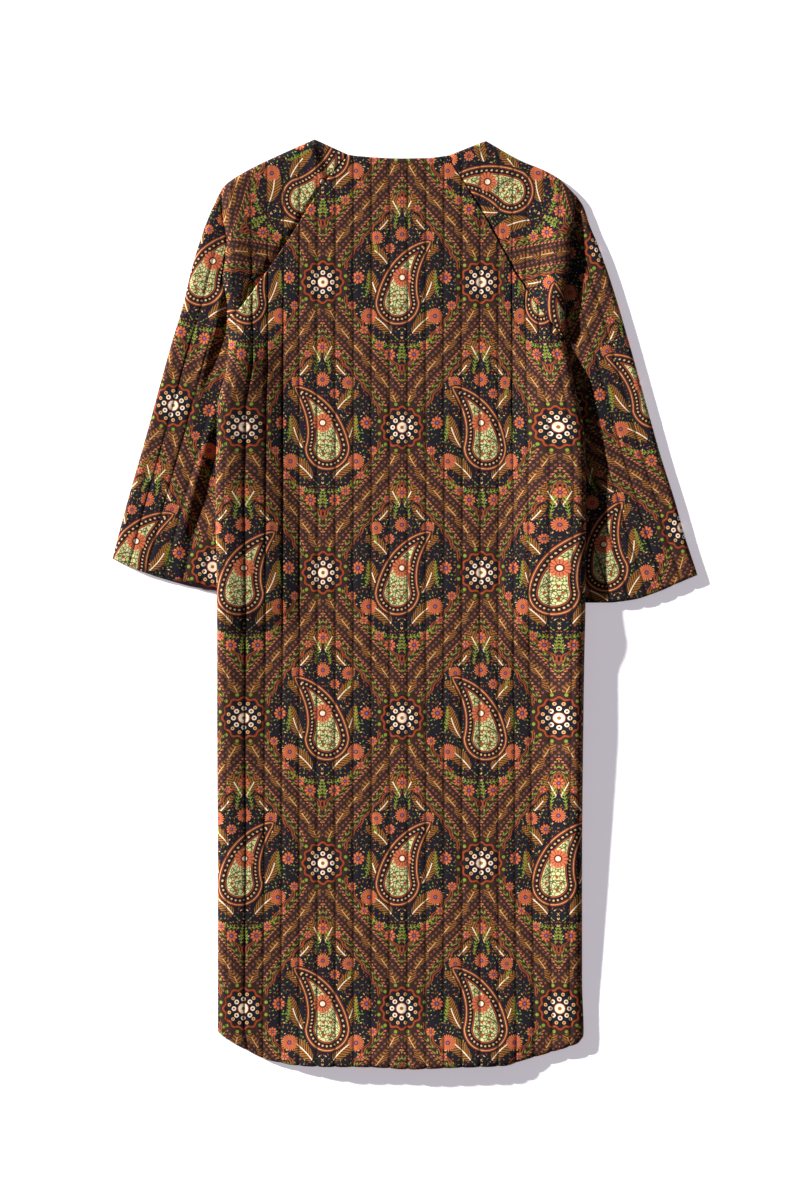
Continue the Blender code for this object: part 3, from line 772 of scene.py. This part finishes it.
def body_grid(across, tops, raglan, neck, raised, count):
    """Where the body's points lie: x, y, distance from the side, from the hem and from the top."""
    near = np.minimum(across, HEM_WIDTH - across)[:, None]
    leftward = (across < HEM_WIDTH / 2)[:, None]
    low = smooth(HEM_LEFT + across, HEM, "x", "y") + raised
    ends = np.array([body_top(top, raglan, neck) for top in tops])
    from_hem = rows_along(ends[:, 1] - low, count)
    y = low[:, None] + from_hem
    t = from_hem / from_hem[:, -1:]
    straight = (HEM_LEFT + across)[:, None] * (1 - t) + tops[:, None] * t
    left, right = [side_out(name, np.minimum(y, SLEEVES[name]["armpit"][1])) for name in SLEEVES]
    edge = np.where(leftward, near - left, right - near)
    x = straight + (edge - straight) * ease(near, *SIDE_BAND)
    x = x + (ends[:, :1] - x[:, -1:]) * ease(t, 0.6, 1)
    from_top = from_hem[:, -1:] - from_hem
    side_line = np.where(leftward, *[side_out(name, y) for name in SLEEVES])
    inset = np.clip(np.minimum(near, side_line - np.abs(x)), 0, None)
    return x, y, near, inset, from_hem, from_top


# The flat face of a piece: how its normal stands, and how large it is at least, in square metres
FACES_DOWN = -0.999
LARGE_FACE = 0.0004


class Piece:
    """A cut piece of cloth: patches of its outer face, welded, given a wall and sewn edges."""

    def __init__(self):
        self.mesh = bmesh.new()
        self.print_map = self.mesh.loops.layers.uv.new("print")
        self.quilt_map = self.mesh.loops.layers.uv.new("quilt")

    def add_face(self, corners, print_at, quilt_at):
        """One face, with its corners' places on the print and on the quilting."""
        face = self.mesh.faces.new(corners)
        for loop, a, b in zip(face.loops, print_at, quilt_at):
            loop[self.print_map].uv = a
            loop[self.quilt_map].uv = b

    def add_patch(self, x, y, z, print_u, print_v, quilt_u, upward):
        """A patch of columns and rows, its face up or down."""
        points = np.dstack((x, y, z)) * MM
        print_at = np.dstack((print_u, print_v)) * MM
        quilt_at = np.dstack((quilt_u, y)) * MM
        made = [[self.mesh.verts.new(p) for p in column] for column in points]
        for c in range(len(made) - 1):
            for r in range(len(made[0]) - 1):
                corners = [(c, r), (c + 1, r), (c + 1, r + 1), (c, r + 1)]
                corners = corners if upward else corners[::-1]
                places = [made[i][j] for i, j in corners]
                self.add_face(places, [print_at[at] for at in corners], [quilt_at[at] for at in corners])

    def weld(self):
        """Joins the points of patches that meet."""
        bmesh.ops.remove_doubles(self.mesh, verts=self.mesh.verts, dist=0.00003)

    def quilt_flat_face(self, point, way, width, groove):
        """Presses one stitched line into the flat face: a groove across way, at a point in millimetres."""
        for offset in (-width, 0.0, width):
            faces = [f for f in self.mesh.faces if f.normal.z < FACES_DOWN and f.calc_area() > LARGE_FACE]
            parts = [*faces, *{e for f in faces for e in f.edges}, *{v for f in faces for v in f.verts}]
            place = Vector((point[0] + way[0] * offset, point[1] + way[1] * offset, 0)) * MM
            cut = bmesh.ops.bisect_plane(
                self.mesh, geom=parts, dist=1e-7, plane_co=place, plane_no=Vector((way[0], way[1], 0))
            )
            if offset == 0.0:
                for vertex in [v for v in cut["geom_cut"] if isinstance(v, bmesh.types.BMVert)]:
                    vertex.co.z = max(vertex.co.z, groove * MM)

    def sew(self, name, wall, outside, inside):
        """Gives the cloth its wall, whose inner side is the lining."""
        bmesh.ops.dissolve_degenerate(self.mesh, edges=self.mesh.edges, dist=0.00001)
        mesh = bpy.data.meshes.new(name)
        self.mesh.to_mesh(mesh)
        self.mesh.free()
        cloth = bpy.data.objects.new(name, mesh)
        bpy.context.scene.collection.objects.link(cloth)
        mesh.materials.append(outside)
        mesh.materials.append(inside)
        solid = cloth.modifiers.new("wall", "SOLIDIFY")
        solid.thickness = wall * MM
        solid.offset = -1
        solid.material_offset = 1
        solid.material_offset_rim = 0
        bpy.ops.object.select_all(action="DESELECT")
        cloth.select_set(True)
        bpy.context.view_layer.objects.active = cloth
        bpy.ops.object.modifier_apply(modifier="wall")
        bpy.ops.object.shade_smooth_by_angle(angle=math.radians(60))
        return cloth


HEM_SCALLOP = 1.3
HEM_ROUND = 5.0
NECK_ROUND = 3.2
SEAM_ROUND = 2.5
SEAM_LOW = 0.7
SEAM_DEEP = 3.2
EDGE_LOW = 0.5

BACK_CORNERS = (-74, 57, -117.5, 105)

across, tops, fullness = body_columns(CHANNEL_SHARES, BACK_CORNERS)
scallop = -HEM_SCALLOP * fullness * (0.8 + 0.2 * np.sin(across / 17))
x, y, near, inset, from_hem, from_top = body_grid(across, tops, "raglan", NECK, scallop, BACK_ROWS)
full = fullness[:, None] * plump(x, y, 90, 34, 1)
under_side = upper_inner(x, y, inset)
thick = STITCHED + (PUFFED - STITCHED) * full
crest = under_side + thick + side_roll(x, y, inset) * (1 - 0.5 * ease(from_top, 40, 0))
middle = lift(x, y) + SIDE_MIDDLE + SEAM_GAP / 2
z = turned_down(crest, middle, near, ROLL)
on_neck = (tops > NECK["x"][0]) & (tops < NECK["x"][-1])
top_round = np.where(on_neck, NECK_ROUND, SEAM_ROUND)[:, None]
z = turned_down(z, np.maximum(np.minimum(z, under_side + SEAM_LOW), z - SEAM_DEEP), from_top, top_round)
z = turned_down(z, np.minimum(z, under_side + EDGE_LOW), from_hem, HEM_ROUND)
take_up = (PUFFED - STITCHED) * fullness
side_rise = SIDE_RISE * rounded(np.minimum(across, across[-1] - across), ROLL)
arc = lengths(across, take_up, side_rise)
wander = 0.7 * uneven(x, y, 260, 3) + 0.25 * uneven(x, y, 60, 4)
x = x + wander * ease(inset, 6, 30) * ease(from_top, 0, 40)

BACK_PRINT_START = (-247.5, -40.0)
print_u = arc[:, None] + BACK_PRINT_START[0] + 0 * y
back = Piece()
back.add_patch(x, y, z, print_u, y + BACK_PRINT_START[1], across[:, None] - FIRST_LINE + 0 * y, True)
printed_cotton = quilted_cotton("printed_quilted_cotton")
lining = lining_cotton("mauve_lining")
back.weld()
back = back.sew("back", SHELL, printed_cotton, lining)
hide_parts("back_panel")
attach(back, "root")

# The front: the same quilted cotton, hidden below the back. It lies flat on the table, and its
# sides roll up to the side seams. Its neckline is cut lower, and its hem ends just inside the back's.
FRONT_SHORTER = 2.5
FRONT_NECK = table("x y", (-87, 531), (-60, 505), (-5, 489), (50, 505), (74, 531))
FRONT_SHARES = np.array([0, 0.06, 0.2, 0.5, 0.8, 0.94])
FRONT_CORNERS = (-87, 74)
FRONT_ROWS = 100
GROOVE = 0.8
FRONT_EDGE = 2.4
FRONT_ROUND = 4.0

across, tops, fullness = body_columns(FRONT_SHARES, FRONT_CORNERS)
shorter = FRONT_SHORTER * ease(np.minimum(across, HEM_WIDTH - across), 0, 30)
grid = body_grid(across, tops, "front raglan", FRONT_NECK, shorter, FRONT_ROWS)
x, y, near, inset, from_hem, from_top = grid
base = lift(x, y)
middle = base + SIDE_MIDDLE - SEAM_GAP / 2
z = base + GROOVE * (1 - fullness[:, None]) * ease(near, 12, 30)
z = z + (middle - z) * (1 - rounded(near, ROLL))
at_edge = 1 - rounded(np.minimum(from_top, from_hem), FRONT_ROUND)
z = z + (base + FRONT_EDGE - z) * at_edge * ease(near, 0, 12)
front = Piece()
print_u = across[:, None] + BACK_PRINT_START[0] + 0 * y
front.add_patch(x, y, z, print_u, y + BACK_PRINT_START[1], across[:, None] - FIRST_LINE + 0 * y, False)
front.weld()
front = front.sew("front", SHELL, printed_cotton, lining)
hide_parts("front_panel")
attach(front, "root")


# The sleeves: each is one piece of the same cotton from the neckline to the cuff, folded over the
# arm. The back's channels run on over the shoulder, and the arm's run beside its outer fold. Where
# shoulder and arm meet, the cloth dips into a fold from the shoulder's corner to the armpit.
SLEEVE_CHANNEL = 24.5
TUCKED_STITCHED = 3.1
TUCKED_PUFFED = 3.5
FOLD = 7.0
FOLD_MIDDLE = 3.75
FOLD_STEPS = np.array([0, 0.25, 0.9, 2.0, 3.6, 5.6, 7.6])
FOLD_TURN = 5.6
FOLD_STRETCH = 3.0
FOLD_SMOOTHED = 9.0
FOLD_BLEND = 14.0
NECK_TURN = (0.35, 0.94)
CUFF_TURN = (1.0, -0.25)
SLEEVE_SHELL = 2.1
CUFF_ROUND = 2.6
TROUGH = 5.4
UNDERARM_LOW = 4.7
UNDERARM_WIDTH = 5.0
CUFF_LOW = UNDER + BETWEEN + 0.7
LEAST = 4.6
UNDER_GROOVE = 0.8
UNDER_GROOVE_WIDTH = 1.8
UNDER_LINES = range(-4, 12)
ARM_MIDDLE = 200.0
SHOULDER_GROOVE = 0.45
SHOULDER_ROLL = {"left": 4.6, "right": 9.5}
ARM_DIP_WIDTH = {"left": 4.5, "right": 30.0}
SHOULDER_ROUND = {"left": 5.5, "right": 3.6}
# The dip slants across the arm's columns, so it is nearer than the way along them
ALONG_TO_DIP = 0.35
ARM_ROWS = 128
ARM_EDGE = np.array([0, 0.4, 1.1, 2.2, 3.8, 5.6, 7.4])
FINE_SHARES = np.array([0, 0.045, 0.09, 0.15, 0.22, 0.3, 0.4, 0.5, 0.6, 0.7, 0.78, 0.86, 0.92, 0.955])
ARM_PRINT_TURN = math.radians(15.3)
SHOULDER_PRINT_TURN = math.radians(58.5)
ARM_PRINT_START = {"left": (60.0, 20.0), "right": (-60.0, 0.0)}


def outer_edge(sleeve, y):
    """The sleeve's outer fold at a height."""
    return smooth(y, sleeve["outer"], "y", "out")


def arm_columns(sleeve):
    """Distances of the arm's columns from the outer fold, which one meets the armpit, and their tops."""
    inner, cuff = sleeve["inner"], sleeve["cuff"]
    heights = np.linspace(inner["y"][0], inner["y"][-1], 900)
    widths = outer_edge(sleeve, heights) - smooth(heights, inner, "y", "out")
    y = cuff["y"][-1]
    for _ in range(20):
        last = float(outer_edge(sleeve, y) - smooth(y, inner, "y", "out"))
        y = smooth(last, cuff, "across", "y")
    armpit_out, armpit_y = sleeve["armpit"]
    at_armpit = float(outer_edge(sleeve, armpit_y)) - armpit_out
    fine = [SLEEVE_CHANNEL * (i + s) for i in range(5) for s in FINE_SHARES]
    coarse = [SLEEVE_CHANNEL * (i + s) for i in range(12) for s in CHANNEL_SHARES]
    values = [*ARM_EDGE, *[v for v in fine if 8.5 < v < at_armpit]]
    values += [v for v in coarse if at_armpit <= v < last - 0.6]
    arm = snapped([*values, last], at_armpit)
    at = int(np.argmin(abs(arm - at_armpit)))
    tops = np.interp(arm, widths[::-1], heights[::-1])
    tops[0], tops[at] = sleeve["shoulder"]["y"][-1], armpit_y
    return arm, at, tops


def nearest(x, y, a, b):
    """How far along the step from a to b the place nearest to each point lies, and how far off it is."""
    step = b[:2] - a[:2]
    t = np.clip(((x - a[0]) * step[0] + (y - a[1]) * step[1]) / (step @ step), 0, 1)
    return t, np.hypot(x - a[0] - t * step[0], y - a[1] - t * step[1])


def to_outline(x, y, outline):
    """The distance from points to a line of many short steps."""
    return np.min([nearest(x, y, a, b)[1] for a, b in zip(outline[:-1], outline[1:])], axis=0)


# Creases in the arm and the shoulder: how steep their two sides are, and points along each with
# the depth there
ARM_CREASES = {
    "left": (
        (5, 16, ((-229, 392, 4.0), (-236, 355, 5.0), (-247, 323, 4.2), (-256, 292, 2.6), (-265, 262, 0.0))),
        (4.5, 18, ((-236, 246, 3.0), (-249, 203, 5.5), (-262, 152, 6.0), (-274, 110, 3.6), (-288, 55, 1.0))),
    ),
    "right": (
        (14.0, 6.0, ((212, 300, 0.0), (226, 262, 2.0), (243, 215, 2.2), (262, 160, 1.0), (275, 120, 0.0))),
    ),
}
SHOULDER_CREASES = {
    "left": ((5.5, 12.0, ((-112, 590, 1.0), (-108, 581, 4.0), (-101, 565, 4.6), (-96, 553, 3.6))),),
    "right": ((4.0, 9.0, ((150, 560, 0.0), (128, 540, 1.2), (100, 520, 0.6))),),
}


# The brow beside a crease's steep side: how far off, how wide, and how high, by its depth
BROW_AWAY = 2.3
BROW_WIDTH = 1.3
BROW_RISE = 0.45


def creased(x, y, z, creases):
    """The cloth with its creases pressed in: each falls steeply on one side, and softly on the other."""
    for left_width, right_width, points in creases:
        points = np.array(points, float)
        found = np.array((np.full(np.shape(x), math.inf), 0 * x, 0 * x))
        for a, b in zip(points[:-1], points[1:]):
            t, away = nearest(x, y, a, b)
            turn = (b[0] - a[0]) * (y - a[1]) - (b[1] - a[1]) * (x - a[0])
            found = np.where(away < found[0], (away, a[2] + (b[2] - a[2]) * t, turn), found)
        best, depth, aside = found
        width = np.where(aside > 0, right_width, left_width)
        steep = min(left_width, right_width)
        from_brow = (best - BROW_AWAY * steep) / (BROW_WIDTH * steep)
        brow = np.where(width == steep, np.exp(-(from_brow**2)), 0.0)
        z = z + depth * (BROW_RISE * brow - np.exp(-((best / width) ** 1.5)))
    return np.maximum(z, LEAST)


def turned(side, out, y, angle, start=(0.0, 0.0)):
    """Places on the print where the cloth of a sleeve lies turned by an angle."""
    c, s = math.cos(angle), math.sin(angle)
    return side * (out * c + y * s + start[0]), y * c - out * s + start[1]


def sleeve_outline(sleeve):
    """The fold over the arm from above: along the shoulder, round its corner and down to the cuff."""
    shoulder = sleeve["shoulder"]
    outs = np.linspace(shoulder["out"][0], shoulder["out"][-1], 40)
    top = np.column_stack((outs, smooth(outs, shoulder, "out", "y")))
    ys = np.linspace(sleeve["shoulder"]["y"][-1], sleeve["cuff"]["y"][0], 90)[1:]
    side = np.column_stack((outer_edge(sleeve, ys), ys))
    return np.vstack((top, side)) * (sleeve["side"], 1)


def make_sleeve(name):
    """One sleeve: its arm, shoulder, fold and under layer, each a patch, sewn into one piece."""
    sleeve = SLEEVES[name]
    side = sleeve["side"]
    armpit_out, armpit_y = sleeve["armpit"]
    neck_out, corner_out = sleeve["shoulder"]["out"][[0, -1]]
    neck_y, corner_y = sleeve["shoulder"]["y"][[0, -1]]
    outline = sleeve_outline(sleeve)
    cloth = Piece()

    # Arm: its columns run beside the outer fold, from the dip and the underarm seam to the cuff
    arm, at, tops = arm_columns(sleeve)
    low = smooth(arm, sleeve["cuff"], "across", "y")
    share = arm / SLEEVE_CHANNEL
    share = np.where(share < 0.5, 0.5, share % 1)
    from_cuff = rows_along(np.maximum(tops - low, 0.0), ARM_ROWS)
    arm_y = low[:, None] + from_cuff
    from_seam = from_cuff[:, -1:] - from_cuff
    out = outer_edge(sleeve, arm_y) - arm[:, None]
    arm_x = side * out
    clear = ease(out - side_out(name, np.minimum(arm_y, armpit_y)), 2, 28)
    puffed = TUCKED_PUFFED + (PUFFED - TUCKED_PUFFED) * clear
    stitched = TUCKED_STITCHED + (STITCHED - TUCKED_STITCHED) * clear
    full = puff(share)[:, None] * plump(arm_x, arm_y, 80, 30, 5)
    flat = UNDER + BETWEEN + stitched + (puffed - stitched) * full
    to_fold = to_outline(arm_x, arm_y, outline)
    below_dip = (np.arange(len(arm)) <= at)[:, None]
    from_line = np.where(below_dip, from_seam * ALONG_TO_DIP, from_seam)
    dip = np.where(below_dip, TROUGH, UNDERARM_LOW)
    dip_width = np.where(below_dip, ARM_DIP_WIDTH[name], UNDERARM_WIDTH)
    arm_z = turned_down(flat, dip, from_line, dip_width)
    arm_z = creased(arm_x, arm_y, arm_z, ARM_CREASES[name])
    arm_z = turned_down(arm_z, CUFF_LOW, from_cuff, CUFF_ROUND)
    arm_z = turned_down(arm_z, FOLD_MIDDLE, to_fold, FOLD)
    over_fold = FOLD_STRETCH * (1 - np.clip(to_fold / FOLD, 0, 1)) ** 2
    print_at = turned(side, out + over_fold, arm_y, ARM_PRINT_TURN, ARM_PRINT_START[name])
    quilt_u = np.maximum(arm, SLEEVE_CHANNEL / 2)[:, None] * CHANNEL / SLEEVE_CHANNEL + 0 * arm_y
    cloth.add_patch(arm_x, arm_y, arm_z, *print_at, quilt_u, side < 0)

    # Shoulder: the back's own columns run on over the seam, up to the neck and the fold
    across, columns, fullness = body_columns(CHANNEL_SHARES, BACK_CORNERS)
    here = (side * columns >= sleeve["raglan"]["out"][0] - 0.01) & (side * columns <= armpit_out + 0.01)
    order = np.argsort(side * columns[here])
    columns, fullness, across = columns[here][order], fullness[here][order], across[here][order]
    starts = np.array([seam_point(sleeve, "raglan", c, 1) for c in columns])
    out = side * columns
    reach = (out - out[0]) / (out[-1] - out[0])
    top_out = out + (corner_out - armpit_out) * reach**3
    seam_out, seam_y = sleeve["raglan"]["out"][0], sleeve["raglan"]["y"][0]
    on_neck = seam_y + (neck_y - seam_y) * (top_out - seam_out) / (neck_out - seam_out)
    high = smooth(top_out, sleeve["shoulder"], "out", "y")
    high = np.where(top_out <= neck_out + 0.01, on_neck, high)
    dip_y = tops[at::-1]
    share = (dip_y - armpit_y) / (corner_y - armpit_y)
    top_y = starts[:, 1:] + (high[:, None] - starts[:, 1:]) * share
    top_x = starts[:, :1] + (side * top_out[:, None] - starts[:, :1]) * share
    top_x[-1, 1:], top_y[-1, 1:] = arm_x[at - 1 :: -1, -1], dip_y[1:]
    inset = np.maximum(0, side_out(name, np.maximum(top_y, armpit_y)) - np.abs(top_x))
    faint = 1 - SHOULDER_GROOVE * ease(top_y - starts[:, 1:], 0, 45)
    full = 1 - (1 - fullness[:, None]) * faint
    full = full * plump(top_x, top_y, 90, 34, 1)
    inner = upper_inner(top_x, top_y, inset)
    roll = faded(inset, ROLL_CREST, ROLL_FADE) * ease(top_y, corner_y + 10, corner_y - 75)
    crest = inner + STITCHED + (PUFFED - STITCHED) * full + SHOULDER_ROLL[name] * roll
    from_dip = np.minimum(inset, armpit_out - out[:, None] + 2)
    from_dip[-1] = 0
    top_z = turned_down(crest, TROUGH, from_dip, SHOULDER_ROUND[name])
    top_z = creased(top_x, top_y, top_z, SHOULDER_CREASES[name])
    from_seam = top_y - starts[:, 1:]
    seam_low = np.maximum(np.minimum(top_z, inner + SEAM_LOW), top_z - SEAM_DEEP)
    top_z = turned_down(top_z, seam_low, from_seam, SEAM_ROUND)
    neck_line = np.array([[side * seam_out, seam_y], [side * neck_out, neck_y]])
    from_neck = to_outline(top_x, top_y, neck_line)
    top_z = turned_down(top_z, np.minimum(top_z, inner + EDGE_LOW), from_neck, NECK_ROUND)
    top_z = turned_down(top_z, FOLD_MIDDLE, to_outline(top_x, top_y, outline), FOLD)
    top_z[-1] = arm_z[at::-1, -1]
    print_at = turned(side, side * top_x, top_y, SHOULDER_PRINT_TURN)
    quilt_u = (across - FIRST_LINE)[:, None] + 0 * top_y
    cloth.add_patch(top_x, top_y, top_z, *print_at, quilt_u, side > 0)

    # Fold: it turns the cloth under, from the neck point to the cuff
    first = int(np.argmin(abs(top_out - neck_out)))
    edge = np.hstack(((top_x[first:, -1], top_y[first:, -1]), (arm_x[0, -2::-1], arm_y[0, -2::-1])))
    along = lengths(*edge)
    way = np.gradient(edge[::-1], axis=1) * ((side,), (-side,))
    pull = np.exp(-(((along[:, None] - along) / FOLD_SMOOTHED) ** 2)) * np.gradient(along)
    way = (way / np.hypot(*way)) @ pull.T
    from_neck, from_end = ease(along, FOLD_BLEND, 0), ease(along, along[-1] - FOLD_BLEND, along[-1])
    ends = np.outer(NECK_TURN, from_neck) + np.outer(CUFF_TURN, from_end)
    way = way / np.hypot(*way) * (1 - from_neck - from_end) - ends * ((side,), (1,))
    edge, way = edge[:, :, None], way[:, :, None]
    fold_x, fold_y = edge + way * FOLD_STEPS
    fold_z = FOLD_MIDDLE * (1 - rounded(FOLD_STEPS, FOLD_TURN)) + 0 * fold_y
    inner_x, inner_y = edge - way * lengths(FOLD_STEPS, fold_z[0])
    print_at = turned(side, side * inner_x + FOLD_STRETCH, inner_y, ARM_PRINT_TURN, ARM_PRINT_START[name])
    cloth.add_patch(fold_x, fold_y, fold_z, *print_at, 0 * fold_y + CHANNEL / 2, side > 0)

    # Under layer: flat on the table, inside the fold, cuff, underarm, front raglan and neck
    loop = list(zip(fold_x[:, -1], fold_y[:, -1]))
    reach = np.linspace(12, arm[-1], 8)
    under_y = smooth(reach, sleeve["cuff"], "across", "under")
    loop += list(zip(side * (outer_edge(sleeve, under_y) - reach), under_y))
    loop += [(arm_x[m, -1], arm_y[m, -1]) for m in range(len(arm) - 2, at, -1)]
    seam_outs = np.linspace(armpit_out, sleeve["front raglan"]["out"][0], 16)
    loop += [seam_point(sleeve, "front raglan", side * seam_out, 1) for seam_out in seam_outs]
    loop = np.array(loop)
    print_at = turned(side, side * loop[:, 0], loop[:, 1], ARM_PRINT_TURN, ARM_PRINT_START[name])
    c, s = math.cos(ARM_PRINT_TURN), math.sin(ARM_PRINT_TURN)
    level = outer_edge(sleeve, ARM_MIDDLE) * c + ARM_MIDDLE * s
    reach = level - side * loop[:, 0] * c - loop[:, 1] * s
    points = np.column_stack((loop, 0 * reach)) * MM
    print_at = np.column_stack(print_at) * MM
    quilt_at = np.column_stack((reach * CHANNEL / SLEEVE_CHANNEL, loop[:, 1])) * MM
    turn = slice(None, None, 1 if side > 0 else -1)
    corners = [cloth.mesh.verts.new(p) for p in points[turn]]
    cloth.add_face(corners, print_at[turn], quilt_at[turn])
    cloth.weld()
    cloth.mesh.normal_update()
    way = np.array((side * c, s))
    for i in UNDER_LINES:
        cloth.quilt_flat_face(way * (level - SLEEVE_CHANNEL * i), way, UNDER_GROOVE_WIDTH, UNDER_GROOVE)
    made = cloth.sew("sleeve_on_the_" + name, SLEEVE_SHELL, printed_cotton, lining)
    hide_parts("sleeve_" + name)
    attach(made, "root")
    return made


left_sleeve = make_sleeve("left")
right_sleeve = make_sleeve("right")
